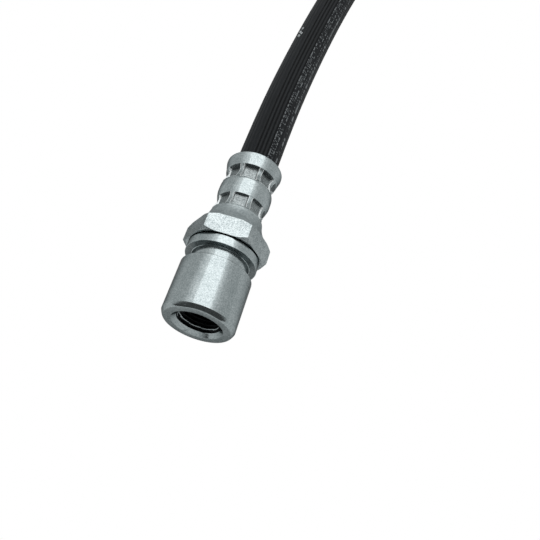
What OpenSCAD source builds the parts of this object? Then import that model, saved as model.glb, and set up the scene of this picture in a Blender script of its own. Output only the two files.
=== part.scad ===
// Hydraulic brake hose assembly: a bracket-end fitting with a female M10 x 1 port, a braided
// rubber hose, and a banjo end with its hollow bolt and two copper washers.
// +Y runs along the bracket-end fitting towards the hose, and +Z is up. The origin is on the
// port's axis where the thread starts. The whole assembly lies on a flat surface.

/* [Bracket end] */
// Radius of the barrel that goes through the bracket
barrel_r = 8.2; // [7.9:0.1:8.3]
// Nominal radius of the port's thread
port_r = 5; // [4.5:0.1:5.5]
// Length of the port's thread
port_thread_length = 11; // [9:0.5:11]
// Depth of the countersink at the port's mouth
port_countersink = 0.8; // [0.6:0.1:1]
// Length of the barrel from the start of the thread to the clip groove
barrel_length = 12.2; // [11:0.1:13]
// Chamfer of the barrel's end, along the axis
barrel_chamfer_length = 1.15; // [0.8:0.05:1.4]
// Chamfer of the barrel's end, across the axis
barrel_chamfer = 0.4; // [0.3:0.05:0.6]
// Width of the groove for the spring clip
clip_groove_width = 3; // [2.5:0.1:3.5]
// Radius of the groove's floor
clip_groove_r = 6.6; // [6.4:0.1:7]
// Thickness of the ring between the clip groove and the hexagon
ring_thickness = 2.1; // [1.8:0.1:2.6]
// Radius of the ring
ring_r = 8.3; // [8.1:0.1:8.4]
// Width of the undercut between the ring and the hexagon
undercut_width = 0.2; // [0.1:0.05:0.3]
// Radius of the undercut's floor
undercut_r = 7.8; // [7.5:0.1:8]
// Hexagon across its flats
hex_af = 17; // [16.8:0.1:19]
// Length of the hexagon, with its chamfers and the undercut
hex_length = 4.8; // [4:0.1:6]
// Chamfer of the hexagon's corners, along the axis
hex_chamfer = 0.65; // [0.5:0.05:1.2]
// Length of the cone from the hexagon to the socket
shoulder_length = 3.1; // [2.4:0.1:4]
// Radius of the cone where it leaves the hexagon
shoulder_r = 8.3; // [7.8:0.1:8.4]

/* [Crimped socket] */
// Radius of the plain shank behind the crimps
shank_r = 6.4; // [6.2:0.05:6.7]
// Radius of the valleys that the crimping jaws leave
valley_r = 5.6; // [5.5:0.05:5.8]
// Radius of the bulge between the two rows
bulge_r = 6.4; // [6.1:0.05:6.6]
// Radius of the collar at the mouth
collar_r = 6.85; // [6.6:0.05:7]
// Distance of the first row of jaw marks from the start of the shank
first_row = 3.85; // [3.8:0.05:4.1]
// Distance of the second row of jaw marks from the start of the shank
second_row = 12.1; // [11.8:0.05:12.2]
// How far a valley's lowest place lies beyond the middle of its marks
valley_offset = 0.4; // [0:0.05:0.5]
// Height of the collar's cone, from its foot to the mouth
collar_flare = 0.4; // [0.2:0.05:0.5]
// Length of the socket from the start of the shank to the mouth
socket_length = 17.1; // [17:0.1:17.4]
// Number of crimping jaws
jaws = 8; // [6:1:8]
// Width of one jaw's mark
jaw_width = 3.1; // [2.8:0.1:3.5]
// Length of one jaw's mark, along the axis
jaw_length = 3.6; // [2.6:0.1:3.7]
// Distance of a mark's flat floor from the axis
jaw_floor = 5.1; // [5:0.05:5.3]
// Inner radius of the socket where it grips the hose
grip_r = 4.2; // [4:0.05:4.4]

/* [Hose] */
// Outer diameter of the hose
hose_od = 10; // [9.8:0.1:10.4]
// Bore of the hose
hose_bore = 3.2; // [3:0.1:3.4]
// Radius outside the liner
liner_r = 2.6; // [2.4:0.05:2.7]
// Radius outside the inner braid
inner_braid_r = 3.1; // [3:0.05:3.2]
// Radius outside the cushion
cushion_r = 3.5; // [3.4:0.05:3.6]
// Radius outside the outer braid
outer_braid_r = 4; // [3.9:0.05:4.1]
// Radius of the nipple's plain tube inside the hose
nipple_r = 1.95; // [1.8:0.05:2]
// Radius of the nipple's barbs
barb_r = 2.1; // [2:0.05:2.1]
// Radius of the nipple's bore
nipple_bore_r = 1.2; // [1:0.05:1.3]
// Length of the nipple inside the hose
nipple_length = 13; // [12:0.5:14]
// Length of the nipple pressed into its fitting
nipple_root = 5; // [3:0.5:6]

/* [Banjo end] */
// Outer radius of the eye
eye_r = 10.5; // [10:0.1:11]
// Radius of the eye's raised sealing faces
seal_face_r = 8.6; // [8.2:0.1:9]
// Thickness of the eye at its sealing faces
eye_thickness = 11; // [10:0.5:12]
// Height of a sealing face above the eye's sides
seal_face_height = 0.4; // [0.3:0.1:0.6]
// Radius of the eye's bore
eye_bore_r = 5.08; // [5.05:0.01:5.1]
// Radius of the fluid groove inside the bore
eye_groove_r = 6; // [5.6:0.1:6.4]
// Width of the fluid groove
eye_groove_width = 4; // [3:0.5:5]
// Radius of the stem where it enters the eye
stem_r = 5; // [4.8:0.1:5.2]
// Distance from the eye's axis to the socket's shank
stem_reach = 16.5; // [15:0.5:18]
// Slope of the banjo end, which lies on its rim and its collar
banjo_tilt = 6.5; // [6:0.5:6.5]

/* [Bolt and washers] */
// Nominal radius of the bolt's thread
bolt_r = 5; // [5:0.01:5.02]
// Radius of the bolt's plain shank
bolt_shank_r = 4.65; // [4.5:0.05:4.7]
// Radius of the bolt's waist, where fluid enters
bolt_waist_r = 4; // [3.8:0.1:4.2]
// Length of the waist
bolt_waist_length = 5; // [4:0.5:6]
// Length of the thread that goes into the caliper
bolt_thread_length = 11; // [10:0.5:14]
// Chamfer of the bolt's tip
bolt_tip_chamfer = 0.8; // [0.5:0.1:1]
// Radius of the bolt's fluid bore
bolt_bore_r = 1.6; // [1.4:0.1:1.8]
// Radius of the hole across the waist
cross_hole_r = 1.25; // [1:0.05:1.4]
// Bolt's hexagon across its flats
bolt_hex_af = 14; // [13.8:0.1:14.2]
// Height of the bolt's hexagon
bolt_hex_height = 6; // [5:0.5:7]
// Radius of the flange under the bolt's hexagon
bolt_flange_r = 7.9; // [7.6:0.1:8]
// Thickness of the flange
bolt_flange_thickness = 1.2; // [1:0.1:1.5]
// Thickness of a copper washer
washer_thickness = 1.2; // [1:0.1:1.5]
// Outer radius of a copper washer
washer_r = 8; // [7.8:0.1:8.2]
// Inner radius of a copper washer
washer_bore_r = 5.08; // [5.05:0.01:5.1]
// Gap between a washer and what it lies against
washer_gap = 0.05; // [0.02:0.01:0.1]

/* [Hidden] */
$fn = 96;

// The bracket end, from the port's face to the start of the socket's shank.
face_y = -port_countersink;
countersink_r = port_r + port_countersink;
chamfer_end_y = face_y + barrel_chamfer_length;
groove_end_y = barrel_length + clip_groove_width;
ring_end_y = groove_end_y + ring_thickness;
hex_start_y = ring_end_y + undercut_width;
hex_end_y = ring_end_y + hex_length;
shank_y = hex_end_y + shoulder_length;
floor_z = -hex_af / 2;
hex_face_margin = 0.4;
cut_margin = 1;

// The port's floor: a short pilot, then a cone-shaped seat down to the fluid passage.
thread_depth = 0.6;
pilot_length = 1;
seat_angle = 118;
pilot_r = port_r - thread_depth;
pilot_end_y = port_thread_length + pilot_length;
passage_r = nipple_bore_r + 0.1;
seat_end_y = pilot_end_y + (pilot_r - passage_r) / tan(seat_angle / 2);

// The socket, measured from the start of its shank.
shank_length = 1;
half_bulge = 0.6;
first_valley_s = first_row + valley_offset;
second_valley_s = second_row + valley_offset;
row_to_bulge = 4.75;
bulge_s = first_row + row_to_bulge;
collar_length = 1.9;
collar_s = socket_length - collar_length;
collar_foot_r = collar_r - collar_flare;
hose_clearance = 0.2;
throat_r = hose_od / 2 + hose_clearance;
mouth_bevel = 0.4;
mouth_bore_r = throat_r + mouth_bevel;
cavity_s = 1.1;
throat_length = 1.3;
funnel_length = 1.4;
throat_s = socket_length - throat_length;
grip_end_s = throat_s - funnel_length;
throat_cone = 0.3;
blend_steps = 6;

// The stations of the socket's outline: a shank, two valleys, a bulge and the collar's foot.
socket_stations = [
    [0, shank_r],
    [shank_length, shank_r],
    [first_valley_s, valley_r],
    [bulge_s - half_bulge, bulge_r],
    [bulge_s + half_bulge, bulge_r],
    [second_valley_s, valley_r],
    [collar_s, collar_foot_r],
];

// A nipple: its root is tighter than its barbs, and it has three of them.
barbs = 3;
barb_length = 1.5;
root_step = 0.1;
nipple_root_r = barb_r + root_step;

// The hose's radii: free, and squeezed between a socket and its nipple.
free_radii = [hose_bore / 2, liner_r, inner_braid_r, cushion_r, outer_braid_r, hose_od / 2];
gripped_radii = [2.25, 2.7, 3, 3.25, 3.6, grip_r];
hose_sides = 12;
gripped_rings = 2;

// The banjo end lies on its rim, heading along +Y with its stem sloping down to the hose.
eye_x = 42;
eye_y = 345;
eye_z = floor_z + eye_r;
half_eye = eye_thickness / 2;
eye_bevel = 0.6;
stem_cone = 3;
stem_end_depth = 2;
stem_pocket_depth = 4;
stem_end_r = eye_r - stem_end_depth;
stem_pocket_s = eye_r - stem_pocket_depth;
washer_x = half_eye + washer_gap;
bolt_seat_x = washer_x + washer_thickness + washer_gap;
bolt_waist_x = bolt_waist_length / 2;
bolt_waist_cone = 0.5;
bolt_tip_x = bolt_seat_x + bolt_thread_length;
bolt_hex_chamfer = 0.7;

// A point on the banjo end's axis, at a distance from the eye's centre towards the hose.
function banjo_axis(distance) =
    [eye_x, eye_y - distance * cos(banjo_tilt), eye_z - distance * sin(banjo_tilt)];

// The hose's route along its centre line, from one socket's floor to the other's.
free_route = [
    [0.3, 65, -0.9],
    [1.6, 90, -2.8],
    [4.1, 115, -3.4],
    [8.2, 140, -3.4],
    [14, 165, -3.4],
    [20.7, 190, -3.4],
    [27.4, 215, -3.4],
    [33.7, 240, -3.4],
    [38.3, 265, -3.4],
    [41, 290, -3.1],
];
route = concat(
    [for (s = [cavity_s, grip_end_s, throat_s]) [0, shank_y + s, 0]],
    free_route,
    [for (s = [throat_s, grip_end_s, cavity_s]) banjo_axis(stem_reach + s)]
);
last_ring = len(route) - 1;

function unit(v) = v / norm(v);

// The radius at a fraction t of the way from one station to the next, eased at both.
function blend(a, b, t) = a + (b - a) * (1 - cos(180 * t)) / 2;

// The socket's outer outline, rounded between its stations.
function socket_outline() = concat(
    [for (i = [0:len(socket_stations) - 2], k = [0:blend_steps - 1])
        let (a = socket_stations[i], b = socket_stations[i + 1], t = k / blend_steps)
        if (k == 0 || a[1] != b[1])
            [blend(a[1], b[1], t), a[0] + (b[0] - a[0]) * t]],
    [[collar_foot_r, collar_s], [collar_r, socket_length]]
);

// The direction of the hose at one of its rings.
function heading(i) = unit(route[min(i + 1, last_ring)] - route[max(i - 1, 0)]);

// One ring of points round the route, at a radius.
function ring_points(i, r) =
    let (along = heading(i), side = unit(cross(along, [0, 0, 1])), up = cross(side, along))
    [for (k = [0:hose_sides - 1])
        let (a = 360 * k / hose_sides) route[i] + r * (cos(a) * side + sin(a) * up)];

// A layer's radius at one of the route's rings.
function layer_radius(i, layer) =
    (i < gripped_rings || i > last_ring - gripped_rings) ? gripped_radii[layer] : free_radii[layer];

// A point's number: the outer rings come first, then the inner ones.
function point_number(inner, i, k) =
    (inner * (last_ring + 1) + i) * hose_sides + k % hose_sides;

// Two triangles between four points.
function two_triangles(a, b, c, d) = [[a, b, c], [a, c, d]];

// One layer of the hose, as a closed tube with two walls and two end rings.
module hose_layer(layer) {
    points = [for (inner = [0, 1], i = [0:last_ring])
        each ring_points(i, layer_radius(i, layer + 1 - inner))];
    walls = [for (i = [0:last_ring - 1], k = [0:hose_sides - 1]) each concat(
        two_triangles(point_number(0, i, k), point_number(0, i, k + 1),
                      point_number(0, i + 1, k + 1), point_number(0, i + 1, k)),
        two_triangles(point_number(1, i, k), point_number(1, i + 1, k),
                      point_number(1, i + 1, k + 1), point_number(1, i, k + 1)))];
    ends = [for (k = [0:hose_sides - 1]) each concat(
        two_triangles(point_number(0, 0, k), point_number(1, 0, k),
                      point_number(1, 0, k + 1), point_number(0, 0, k + 1)),
        two_triangles(point_number(0, last_ring, k), point_number(0, last_ring, k + 1),
                      point_number(1, last_ring, k + 1), point_number(1, last_ring, k)))];
    polyhedron(points, concat(walls, ends));
}

// Turns a solid made along +Z to lie along +Y.
module along_y() rotate([-90, 0, 0]) children();

// Turns a solid made along +Z to lie along -X.
module along_minus_x() rotate([0, -90, 0]) children();

// Places a part of the banjo end: its own +Z runs from the eye's centre towards the hose.
module at_banjo() translate([eye_x, eye_y, eye_z]) rotate([90 + banjo_tilt, 0, 0]) children();

// Places a part on the banjo eye's own axis, which lies along X.
module at_eye() translate([eye_x, eye_y, eye_z]) children();

// A hexagon lying on a flat, chamfered at one end or at both.
module hexagon(across_flats, length, chamfer, both_ends) {
    corner = across_flats / sqrt(3);
    inner = across_flats / 2 + hex_face_margin;
    intersection() {
        cylinder(h = length, r = corner, $fn = 6);
        rotate_extrude()
            polygon([
                [0, 0], [both_ends ? inner : corner, 0], [corner, both_ends ? chamfer : 0],
                [corner, length - chamfer], [inner, length], [0, length],
            ]);
    }
}

// The marks of the crimping jaws: flat-floored pockets in two rows.
module jaw_marks() {
    for (row = [first_row, second_row], jaw = [0:jaws - 1])
        rotate(90 + 360 * jaw / jaws)
            translate([jaw_floor, -jaw_width / 2, row - jaw_length / 2])
                cube([collar_r, jaw_width, jaw_length]);
}

// The socket's outside, from the start of its shank to its mouth.
module socket_outside() {
    rotate_extrude() polygon(concat([[0, 0]], socket_outline(), [[0, socket_length]]));
}

// The room inside the socket for the hose, opening out at the mouth.
module socket_cavity() {
    rotate_extrude()
        polygon([
            [0, cavity_s], [grip_r, cavity_s], [grip_r, grip_end_s],
            [throat_r, throat_s - throat_cone], [throat_r, socket_length - mouth_bevel],
            [mouth_bore_r, socket_length], [mouth_bore_r, socket_length + cut_margin],
            [0, socket_length + cut_margin],
        ]);
}

// A barbed nipple: its root is pressed into the fitting, and its barbs hold the liner.
module nipple() {
    barb_pitch = nipple_length / (barbs + 1);
    whole_length = nipple_root + nipple_length;
    difference() {
        union() {
            cylinder(h = nipple_root, r = nipple_root_r);
            translate([0, 0, nipple_root]) cylinder(h = nipple_length, r = nipple_r);
            for (i = [1:barbs])
                translate([0, 0, nipple_root + i * barb_pitch - barb_length])
                    cylinder(h = barb_length, r1 = barb_r, r2 = nipple_r);
        }
        translate([0, 0, -cut_margin])
            cylinder(h = whole_length + 2 * cut_margin, r = nipple_bore_r);
    }
}

// A flat copper ring.
module washer() {
    difference() {
        cylinder(h = washer_thickness, r = washer_r);
        translate([0, 0, -cut_margin])
            cylinder(h = washer_thickness + 2 * cut_margin, r = washer_bore_r);
    }
}

module bracket_end_body() {
    color("silver") along_y() difference() {
        union() {
            rotate_extrude()
                polygon([
                    [0, face_y], [barrel_r - barrel_chamfer, face_y], [barrel_r, chamfer_end_y],
                    [barrel_r, barrel_length], [clip_groove_r, barrel_length],
                    [clip_groove_r, groove_end_y], [ring_r, groove_end_y],
                    [ring_r, ring_end_y], [undercut_r, ring_end_y],
                    [undercut_r, hex_start_y], [0, hex_start_y],
                ]);
            translate([0, 0, hex_start_y])
                hexagon(hex_af, hex_length - undercut_width, hex_chamfer, true);
            translate([0, 0, hex_end_y])
                cylinder(h = shoulder_length, r1 = shoulder_r, r2 = shank_r);
            translate([0, 0, shank_y]) difference() {
                socket_outside();
                jaw_marks();
            }
        }
        rotate_extrude()
            polygon([
                [0, face_y - cut_margin], [countersink_r, face_y - cut_margin],
                [countersink_r, face_y],
                [port_r, 0], [port_r, port_thread_length], [pilot_r, port_thread_length],
                [pilot_r, pilot_end_y], [passage_r, seat_end_y], [0, seat_end_y],
            ]);
        cylinder(h = shank_y, r = passage_r);
        translate([0, 0, shank_y + cavity_s - nipple_root])
            cylinder(h = nipple_root + cut_margin, r = nipple_root_r);
        translate([0, 0, shank_y]) socket_cavity();
    }
}

module bracket_end_nipple() {
    color("gainsboro") along_y()
        translate([0, 0, shank_y + cavity_s - nipple_root]) nipple();
}

module hose_liner() {
    color("dimgray") hose_layer(0);
}

module hose_inner_braid() {
    color("tan") hose_layer(1);
}

module hose_cushion() {
    color("dimgray") hose_layer(2);
}

module hose_outer_braid() {
    color("tan") hose_layer(3);
}

module hose_cover() {
    color([0.1, 0.1, 0.11]) hose_layer(4);
}

module banjo_end_socket() {
    nipple_z = stem_reach + cavity_s - nipple_root;
    color("silver") difference() {
        at_banjo() difference() {
            union() {
                cylinder(h = stem_reach - stem_cone, r = stem_r);
                translate([0, 0, stem_reach - stem_cone])
                    cylinder(h = stem_cone, r1 = stem_r, r2 = shank_r);
                translate([0, 0, stem_reach]) difference() {
                    socket_outside();
                    jaw_marks();
                }
            }
            cylinder(h = stem_reach, r = passage_r);
            translate([0, 0, nipple_z])
                cylinder(h = nipple_root + cut_margin, r = nipple_root_r);
            translate([0, 0, stem_reach]) socket_cavity();
        }
        at_eye() along_minus_x()
            cylinder(h = 2 * eye_thickness, r = stem_end_r, center = true);
    }
}

module banjo_end_nipple() {
    color("gainsboro") at_banjo()
        translate([0, 0, stem_reach + cavity_s - nipple_root]) nipple();
}

module banjo_eye() {
    side_x = half_eye - seal_face_height;
    color("silver") difference() {
        at_eye() along_minus_x() rotate_extrude()
            polygon([
                [eye_bore_r, -half_eye], [seal_face_r, -half_eye], [seal_face_r, -side_x],
                [eye_r - eye_bevel, -side_x], [eye_r, eye_bevel - side_x],
                [eye_r, side_x - eye_bevel], [eye_r - eye_bevel, side_x],
                [seal_face_r, side_x], [seal_face_r, half_eye],
                [eye_bore_r, half_eye], [eye_bore_r, eye_groove_width / 2],
                [eye_groove_r, eye_groove_width / 2], [eye_groove_r, -eye_groove_width / 2],
                [eye_bore_r, -eye_groove_width / 2],
            ]);
        at_banjo() cylinder(h = eye_r, r = passage_r);
        at_banjo() translate([0, 0, stem_pocket_s]) cylinder(h = eye_r, r = stem_r);
    }
}

module head_washer() {
    color("chocolate") at_eye() translate([washer_x + washer_thickness, 0, 0])
        along_minus_x() washer();
}

module caliper_washer() {
    color("chocolate") at_eye() translate([-washer_x, 0, 0]) along_minus_x() washer();
}

module banjo_bolt() {
    color("gainsboro") at_eye() difference() {
        along_minus_x() union() {
            rotate_extrude()
                polygon([
                    [0, -bolt_seat_x], [bolt_shank_r, -bolt_seat_x],
                    [bolt_shank_r, -bolt_waist_x - bolt_waist_cone],
                    [bolt_waist_r, -bolt_waist_x], [bolt_waist_r, bolt_waist_x],
                    [bolt_shank_r, bolt_waist_x + bolt_waist_cone],
                    [bolt_shank_r, bolt_seat_x], [bolt_r, bolt_seat_x],
                    [bolt_r, bolt_tip_x - bolt_tip_chamfer],
                    [bolt_r - bolt_tip_chamfer, bolt_tip_x], [0, bolt_tip_x],
                ]);
            translate([0, 0, -bolt_seat_x - bolt_flange_thickness])
                cylinder(h = bolt_flange_thickness, r = bolt_flange_r);
            mirror([0, 0, 1]) translate([0, 0, bolt_seat_x + bolt_flange_thickness])
                hexagon(bolt_hex_af, bolt_hex_height, bolt_hex_chamfer, false);
        }
        along_minus_x() translate([0, 0, -cut_margin])
            cylinder(h = bolt_tip_x + 2 * cut_margin, r = bolt_bore_r);
        cylinder(h = 4 * bolt_r, r = cross_hole_r, center = true);
    }
}

bracket_end_body();
bracket_end_nipple();
hose_liner();
hose_inner_braid();
hose_cushion();
hose_outer_braid();
hose_cover();
banjo_end_socket();
banjo_end_nipple();
banjo_eye();
head_washer();
banjo_bolt();
caliper_washer();
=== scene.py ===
import math
import random

import bmesh
import bpy
from mathutils import Matrix, Vector


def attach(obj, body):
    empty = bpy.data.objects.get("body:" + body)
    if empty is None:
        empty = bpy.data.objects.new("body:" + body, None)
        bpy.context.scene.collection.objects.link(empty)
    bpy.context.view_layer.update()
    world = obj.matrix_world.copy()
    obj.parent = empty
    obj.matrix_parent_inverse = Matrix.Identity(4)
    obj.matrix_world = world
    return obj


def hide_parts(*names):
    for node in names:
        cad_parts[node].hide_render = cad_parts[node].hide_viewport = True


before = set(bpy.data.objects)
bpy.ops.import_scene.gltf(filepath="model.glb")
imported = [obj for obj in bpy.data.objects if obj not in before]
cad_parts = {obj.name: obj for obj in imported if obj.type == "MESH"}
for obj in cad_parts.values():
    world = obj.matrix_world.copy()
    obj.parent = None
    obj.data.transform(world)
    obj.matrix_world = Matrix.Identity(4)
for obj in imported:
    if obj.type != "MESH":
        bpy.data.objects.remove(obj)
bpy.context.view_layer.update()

MM = 0.001
ROOT = "hose_assembly"

# The room's brightness from the port's side (0) to the hose's side (1), dark where the photographer stands.
ROOM = 0.47
DARK = 0.06
ROOM_STOPS = ((0.02, ROOM), (0.08, DARK), (0.33, DARK), (0.38, ROOM))

# Soft boxes over the floor: each one's name, left side, right side and height in metres, and radiance.
SOFT_BOXES = (
    ("key_box", -0.317, 0.36, 0.7, 0.55),
    ("inner_fill_box", -0.56, 0.47, 0.71, 0.2),
    ("outer_fill_box", -0.82, 0.65, 0.72, 0.17),
    ("wide_fill_box", -1.1, 0.95, 0.73, 0.06),
)
SOFT_BOX_NEAR = -0.12
SOFT_BOX_FAR = 1.1
FLOOR_REACH = 3.0
PAPER_WHITE = (0.97, 1, 1, 1)

# How fine the metal's patterns are, in waves per metre, and how deep they are.
MOTTLE_SCALE = 260
TURNING_SCALE = (60, 2600, 60)
SCRATCH_SCALE = (500, 1700, 500)
PIT_SCALE = 430
GRAIN_HEIGHT = 0.04 * MM
TURNING_HEIGHT = 0.03 * MM
SCRATCH_DEPTH = 0.02 * MM
PIT_DEPTH = 0.03 * MM

# The rubber's and the braid's patterns.
STREAK_SCALE = (1500, 60, 1500)
GRIT_SCALE = 3800
YARN_SCALE = 420
YARN_TURN = 0.6
YARN_HEIGHT = 0.1 * MM

# How many sides each round piece has.
FITTING_SIDES = 288
SOCKET_SIDES = 240
EYE_SIDES = 144
BOLT_SIDES = 120
WASHER_SIDES = 96
DRILL_SIDES = 32
COVER_SIDES = 360
LAYER_SIDES = 36

# The bracket-end fitting, in millimetres along its axis from the start of the port's thread.
FACE_Y = -0.8
COUNTERSINK_R = 5.8
THREAD_R = 5.0
THREAD_DEPTH = 0.54
THREAD_PITCH = 1.0
THREAD_STEP = 0.1
THREAD_FLAT = 0.15
THREAD_RUN_OUT = 0.6
THREAD_LEAD_IN = 0.25
PORT_THREAD_END = 11.0
LIT_THREAD_END = 1.5
PILOT_R = 4.4
PILOT_END = 12.0
PASSAGE_R = 1.3
SEAT_END = 13.86
BARREL_R = 8.2
CHAMFER_R = 7.8
CHAMFER_END = 0.25
BARREL_END = 12.2
GROOVE_R = 6.6
GROOVE_END = 15.2
RING_R = 8.3
RING_END = 17.3
UNDERCUT = 0.22
UNDERCUT_R = 7.8
HEX_FLAT = 8.5
HEX_START = RING_END + UNDERCUT
HEX_END = 22.1
HEX_CHAMFER = 0.65
HEX_FACE_MARGIN = 0.4
SHANK_Y = 25.2
SHOULDER_R = 8.3
SHOULDER_FOOT = 25.3
SHOULDER_OVERLAP = 1.2

# A crimped socket, in millimetres from the start of its shank.
SHANK_R = 6.42
SHANK_END = 0.9
VALLEY_R = 5.6
VALLEYS = (4.25, 12.5)
BULGE_R = 6.38
BULGE = (8.0, 9.2)
COLLAR_R = 6.86
COLLAR_FOOT_R = 6.4
COLLAR_CONE = (14.7, 16.5)
SOCKET_LENGTH = 17.1
CRIMP_END = SOCKET_LENGTH - 2
FINE_STEP = 0.05
COARSE_STEP = 0.17
CAVITY_START = 1.1
GRIP_END = SOCKET_LENGTH - 2.7
THROAT_END = SOCKET_LENGTH - 1.3
GRIP_R = 4.2
THROAT_R = 5.2
NIPPLE_HOLE_R = 2.2
NIPPLE_ROOT = 5.0

# Faces of a socket further out than this are its outside, and the rest are its cavity.
OUTSIDE_R = 4.5

# How far a face's middle may lie from the surface that a painted face is looked for on.
NEAR = 0.05

# The marks that the crimping jaws leave in a socket: the middle and the length of each row's marks.
JAWS = 8
JAW_ROWS = ((3.85, 3.5), (12.1, 3.7))
JAW_WIDTH = 3.1
JAW_FLOOR = 5.15
LIP = 0.1
# The width of the painted highlight along a burr, and the band of painted shade at a mark's side walls.
BURR_HIGHLIGHT = 0.16
WALL_FOOT = 0.07
WALL_SHADE = 0.2

# The cover's ribs: the angle of one groove, and how deep the grooves are in the worn lane and elsewhere.
RIBS = 32
FIRST_GROOVE = 2.2
RIB_RISE = 0.03
WORN_GROOVE = 0.17
USUAL_GROOVE = 0.06
WORN_LANE = (-13, 28)
# The angles of the upper ribs that get a painted highlight.
HIGHLIGHT_RIBS = (-60, 80)

# The hose's layers: the radii between them when free, and when squeezed inside a socket.
FREE_RADII = (1.6, 2.6, 3.1, 3.5, 4.0, 5.0)
GRIPPED_RADII = (2.25, 2.7, 3.0, 3.25, 3.6, 4.2)

# Rows of plain marks along the cover: their angles, how likely each one is, and their lengths.
MARK_ROWS = (
    (27, 30.5, 0.7, (0.25, 0.5, 0.9)),
    (31.5, 38.5, 0.6, (0.16, 0.2)),
    (39.5, 43.5, 0.6, (0.25, 0.5, 0.8)),
    (49, 53.5, 0.45, (0.15, 0.25, 0.4)),
    (59.5, 66, 0.9, (0.2, 0.4, 0.9)),
)
MARK_GAPS = (0.45, 1.0)
FIRST_MARK = 17.6
LAST_MARK = 19
MARK_RISE = 0.07
MARK_ROOT = 0.06
MARK_SLOPE = 0.03
MARK_BEVEL = 0.4

# A pale scuff on the cover's edge: the distance and the angle of each fleck, and the flecks' size.
SCUFF = ((65.3, -44), (65.9, -51), (66.4, -40), (67.2, -47), (67.9, -52), (69.2, -48))
FLECK_LENGTH = 0.9
FLECK_ANGLE = 6
FLECK_RISE = 0.12

# The banjo end, which lies on its rim with its stem sloping down to the hose.
EYE = Vector((42, 345, 2))
TILT = math.radians(6.5)
EYE_R = 10.5
EYE_BORE_R = 5.08
SEAL_FACE_R = 8.6
HALF_EYE = 5.5
EYE_SIDE = 5.1
GALLERY_R = 6.0
GALLERY_HALF = 2.0
STEM_R = 5.0
STEM_START = 7.5
STEM_REACH = 16.5
STEM_FLARE = 3

# The braze round the stem: how far each point lies past the eye's rim, and how proud it stands.
BRAZE = ((-0.6, 0), (-0.05, 0.35), (0.25, 0.12), (0.6, 0))

# The bolt and the washers, along the eye's axis from its middle.
WASHER_START = 5.55
WASHER_THICKNESS = 1.2
WASHER_R = 8.0
BOLT_SEAT = 6.8
FLANGE_R = 7.9
FLANGE_THICKNESS = 1.2
BOLT_HEX_FLAT = 7.0
BOLT_HEX_HEIGHT = 6.0
BOLT_HEX_CHAMFER = 0.7
BOLT_SHANK_R = 4.65
BOLT_WAIST_R = 4.0
BOLT_WAIST_HALF = 2.5
BOLT_WAIST_CONE = 0.5
BOLT_THREAD_DEPTH = 0.6
BOLT_TIP = 17.8
BOLT_TIP_CHAMFER = 0.8
BOLT_BORE_R = 1.6
BOLT_BORE_END = -1
BOLT_BORE_POINT = -1.9
CROSS_HOLE_R = 1.25
CROSS_HOLE_LENGTH = 12

# The hose's route: straight in each socket, and free between them.
FREE_ROUTE = (
    (0.3, 65, -0.9),
    (1.6, 90, -2.8),
    (4.1, 115, -3.4),
    (8.2, 140, -3.4),
    (14, 165, -3.4),
    (20.7, 190, -3.4),
    (27.4, 215, -3.4),
    (33.7, 240, -3.4),
    (38.3, 265, -3.4),
    (41, 290, -3.1),
)
POINT_SPACING = 1.5
SMOOTHING_PASSES = 60


def banjo_point(distance):
    """A point on the banjo end's axis, towards the hose from the eye's middle."""
    return EYE - distance * Vector((0, math.cos(TILT), math.sin(TILT)))


SOCKET_STOPS = (CAVITY_START, GRIP_END, THROAT_END)
ROUTE = (
    [Vector((0, SHANK_Y + s, 0)) for s in SOCKET_STOPS]
    + [Vector(p) for p in FREE_ROUTE]
    + [banjo_point(STEM_REACH + s) for s in reversed(SOCKET_STOPS)]
)


# ---------------------------------------------------------------- camera, light and floor


def make_camera():
    """Stands over the port and looks down along the hose, rolled a little to the right."""
    azimuth, elevation, roll = (math.radians(a) for a in (11.94, 59.63, 6.1))
    target = Vector((3.04, 17.05, 0)) * MM
    distance = 133.8 * MM
    flat = math.cos(elevation)
    back = Vector((math.sin(azimuth) * flat, -math.cos(azimuth) * flat, math.sin(elevation)))
    level = Vector((math.cos(azimuth), math.sin(azimuth), 0))
    upright = back.cross(level)
    right = math.cos(roll) * level + math.sin(roll) * upright
    up = math.cos(roll) * upright - math.sin(roll) * level
    data = bpy.data.cameras.new("camera")
    data.sensor_width = 36
    data.lens = 40.17
    data.shift_x = 0.0635
    data.shift_y = -0.0193
    data.clip_start = 0.01
    data.clip_end = 20
    camera = bpy.data.objects.new("camera", data)
    turn = Matrix((right, up, back)).transposed().to_4x4()
    camera.matrix_world = Matrix.Translation(target + back * distance) @ turn
    bpy.context.collection.objects.link(camera)
    bpy.context.scene.camera = camera


def overhead_light(name, left, right, height, radiance):
    """A flat soft box that faces straight down."""
    data = bpy.data.lights.new(name, "AREA")
    data.shape = "RECTANGLE"
    data.size = right - left
    data.size_y = SOFT_BOX_FAR - SOFT_BOX_NEAR
    data.energy = radiance * math.pi * data.size * data.size_y
    light = bpy.data.objects.new(name, data)
    light.location = ((left + right) / 2, (SOFT_BOX_NEAR + SOFT_BOX_FAR) / 2, height)
    bpy.context.collection.objects.link(light)


def make_studio():
    """A white floor in a grey room, with a soft box overhead and dimmer, wider ones over it."""
    bpy.context.scene.view_settings.view_transform = "Standard"
    make_room()
    for soft_box in SOFT_BOXES:
        overhead_light(*soft_box)
    make_floor()


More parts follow.
